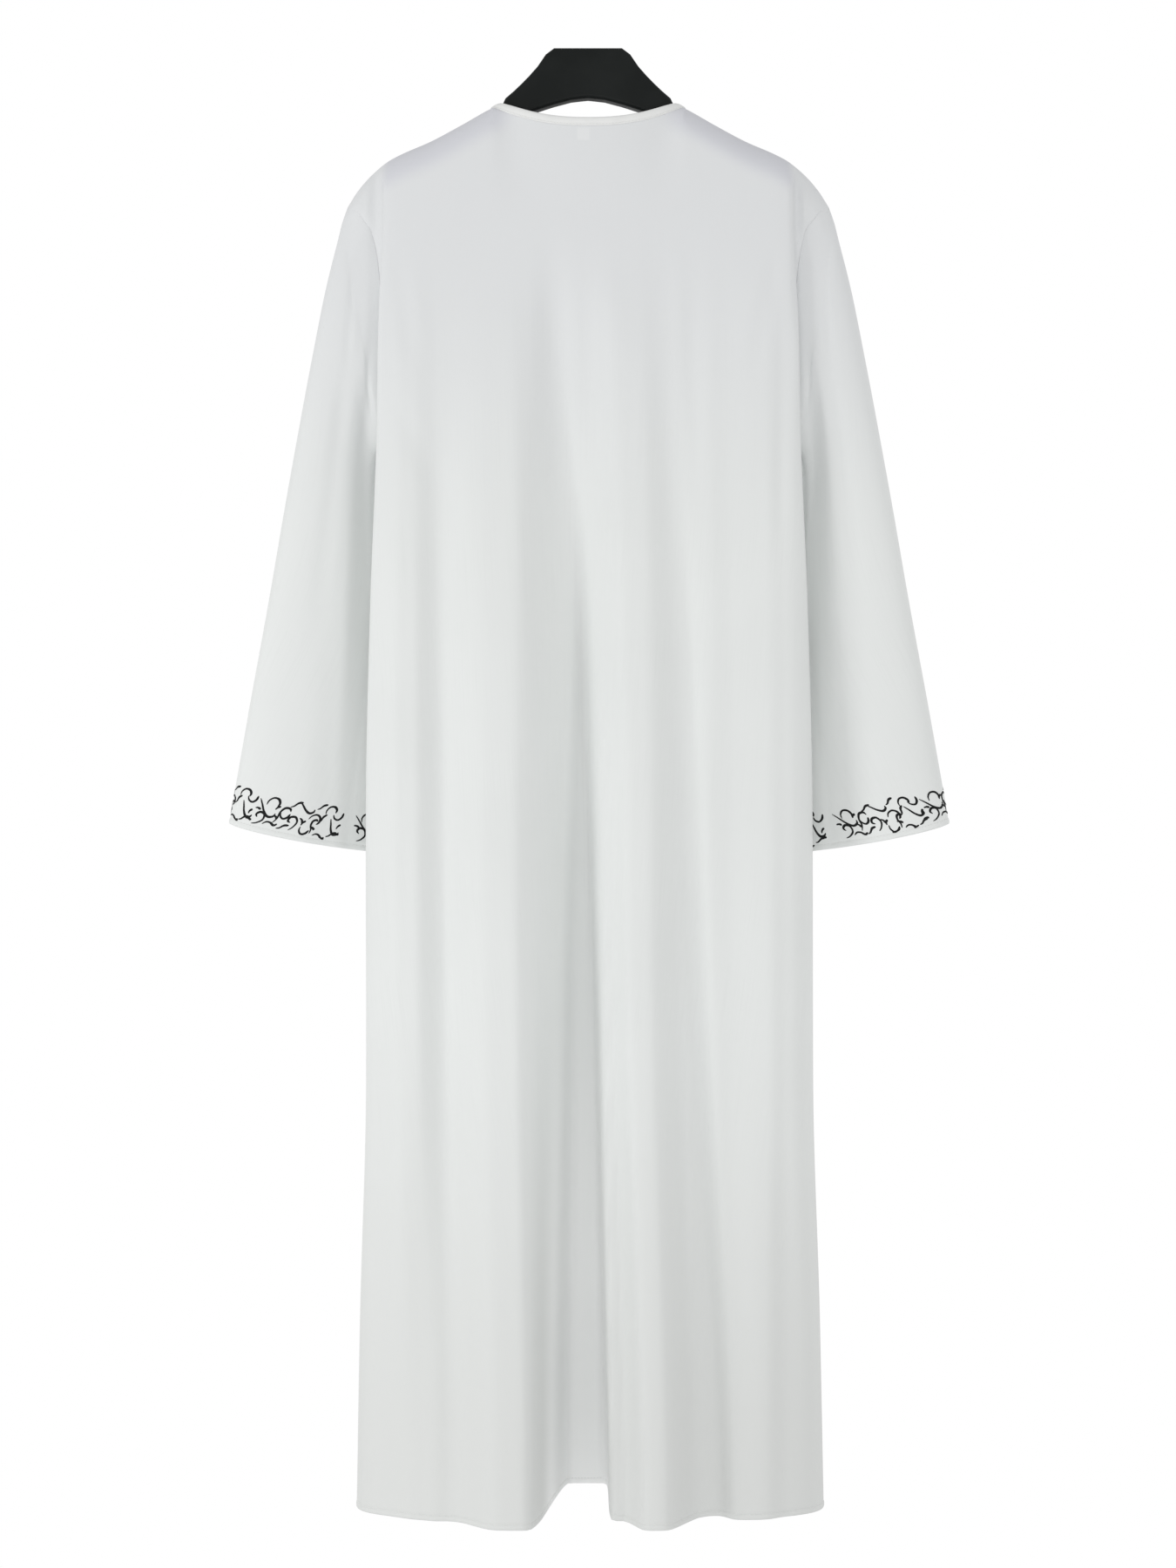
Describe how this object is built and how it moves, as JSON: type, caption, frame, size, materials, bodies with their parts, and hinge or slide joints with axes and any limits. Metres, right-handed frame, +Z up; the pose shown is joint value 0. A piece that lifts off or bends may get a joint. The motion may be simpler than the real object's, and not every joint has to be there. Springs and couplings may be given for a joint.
{
  "type": "thobe robe on a hanger",
  "caption": "Long white collarless thobe robe with wide sleeves and embroidered cuffs, open inside, hanging on a broad black clothes hanger.",
  "frame": {"origin": "middle of the hanger's flat top, where its hook goes in", "axes": "+Z up, -Y the robe's front, +Y its back, +X the wearer's left"},
  "size_m": [0.7131, 0.1957, 1.4427],
  "materials": {
    "robe_cloth": "off-white plain weave with a faint sheen",
    "binding_cloth": "white bias tape, stitched",
    "label_tape": "bare white satin tape",
    "embroidery_thread": "black satin stitch",
    "hanger_plastic": "black moulded plastic with a soft gloss"
  },
  "bodies": {
    "root": {"back": "robe_cloth", "front": "robe_cloth", "sleeve_left": "robe_cloth", "sleeve_right": "robe_cloth", "neck_binding": "binding_cloth", "neck_label": "label_tape", "hanger": "hanger_plastic"}
  },
  "joints": []
}
